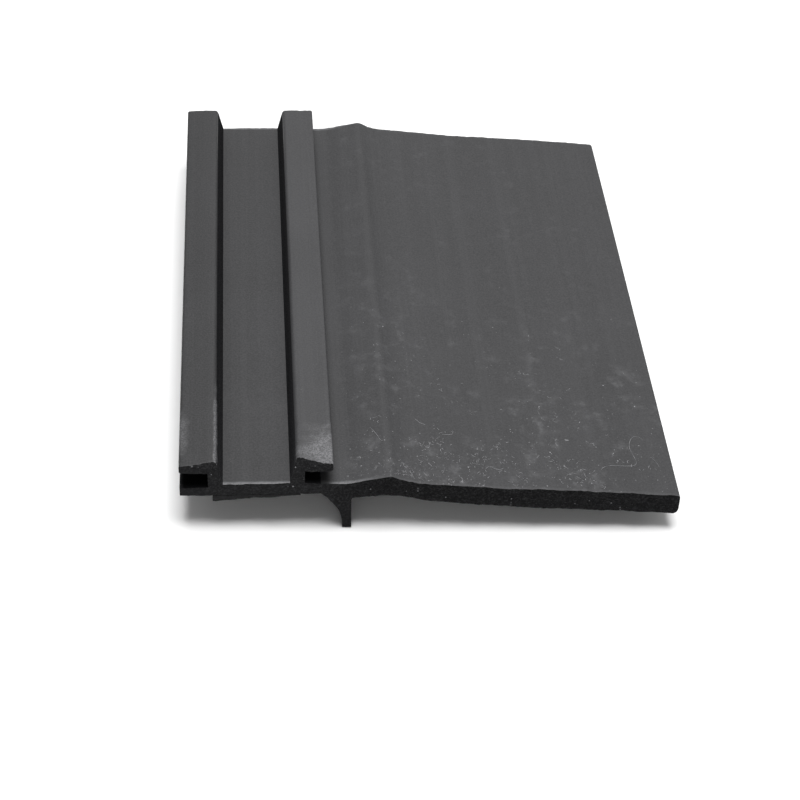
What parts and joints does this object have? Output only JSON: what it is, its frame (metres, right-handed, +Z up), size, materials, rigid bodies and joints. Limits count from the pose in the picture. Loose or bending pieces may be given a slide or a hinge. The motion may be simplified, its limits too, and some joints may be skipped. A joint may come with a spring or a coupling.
{
  "type": "threshold strip",
  "caption": "Cut length of a black rubber wiper threshold strip: an open channel between two hooked rails, a locating fin under it and a wide flexible wiper blade.",
  "frame": {"origin": "centre of the mounting tape's underside, on the centreline of the channel, at mid length", "axes": "+X across the section from the channel to the wiper's tip, +Y along the extruded length, +Z up, away from the sill"},
  "size_m": [0.0919, 0.118, 0.016],
  "materials": {
    "rubber": "satin black, faint dusty bloom",
    "tape": "matte black foam tape"
  },
  "bodies": {
    "base": {"mounting_tape": "tape", "left_ledge": "rubber", "channel_floor": "rubber", "right_ledge": "rubber", "left_web": "rubber", "right_web": "rubber", "fin_gusset": "rubber", "wiper_shoulder": "rubber"},
    "left_hook": {"left_hook": "rubber"},
    "right_hook": {"right_hook": "rubber"},
    "fin": {"locating_fin": "rubber"},
    "wiper_root": {"wiper_root": "rubber"},
    "blade_inner": {"blade_inner": "rubber"},
    "blade_middle": {"blade_middle": "rubber"},
    "blade_tip": {"blade_tip": "rubber"}
  },
  "joints": [
    {"name": "wiper_root_flex", "type": "hinge", "parent": "base", "child": "wiper_root", "pos_m": [0.0195, 0, 0.00177], "axis": [0, -1, 0], "range_deg": [-15, 15], "stiffness_Nm_per_rad": 0.6},
    {"name": "wiper_neck_flex", "type": "hinge", "parent": "wiper_root", "child": "blade_inner", "pos_m": [0.0282, 0, 0.0009], "axis": [0, -1, 0], "range_deg": [-15, 15], "stiffness_Nm_per_rad": 0.5},
    {"name": "blade_inner_flex", "type": "hinge", "parent": "blade_inner", "child": "blade_middle", "pos_m": [0.04489, 0, -0.001], "axis": [0, -1, 0], "range_deg": [-15, 15], "stiffness_Nm_per_rad": 0.4},
    {"name": "blade_outer_flex", "type": "hinge", "parent": "blade_middle", "child": "blade_tip", "pos_m": [0.06164, 0, -0.00229], "axis": [0, -1, 0], "range_deg": [-15, 15], "stiffness_Nm_per_rad": 0.4},
    {"name": "fin_flex", "type": "hinge", "parent": "base", "child": "fin", "pos_m": [0.01615, 0, -0.0038], "axis": [0, -1, 0], "range_deg": [-25, 25], "stiffness_Nm_per_rad": 0.12},
    {"name": "left_hook_flex", "type": "hinge", "parent": "base", "child": "left_hook", "pos_m": [-0.00959, 0, 0.00713], "axis": [0, 1, 0], "range_deg": [-25, 15], "stiffness_Nm_per_rad": 0.2},
    {"name": "right_hook_flex", "type": "hinge", "parent": "base", "child": "right_hook", "pos_m": [0.00959, 0, 0.00713], "axis": [0, -1, 0], "range_deg": [-25, 15], "stiffness_Nm_per_rad": 0.2}
  ],
  "couplings": [
    {"joint": "wiper_neck_flex", "follows": "wiper_root_flex", "ratio": 1},
    {"joint": "blade_inner_flex", "follows": "wiper_root_flex", "ratio": 1},
    {"joint": "blade_outer_flex", "follows": "wiper_root_flex", "ratio": 1}
  ]
}
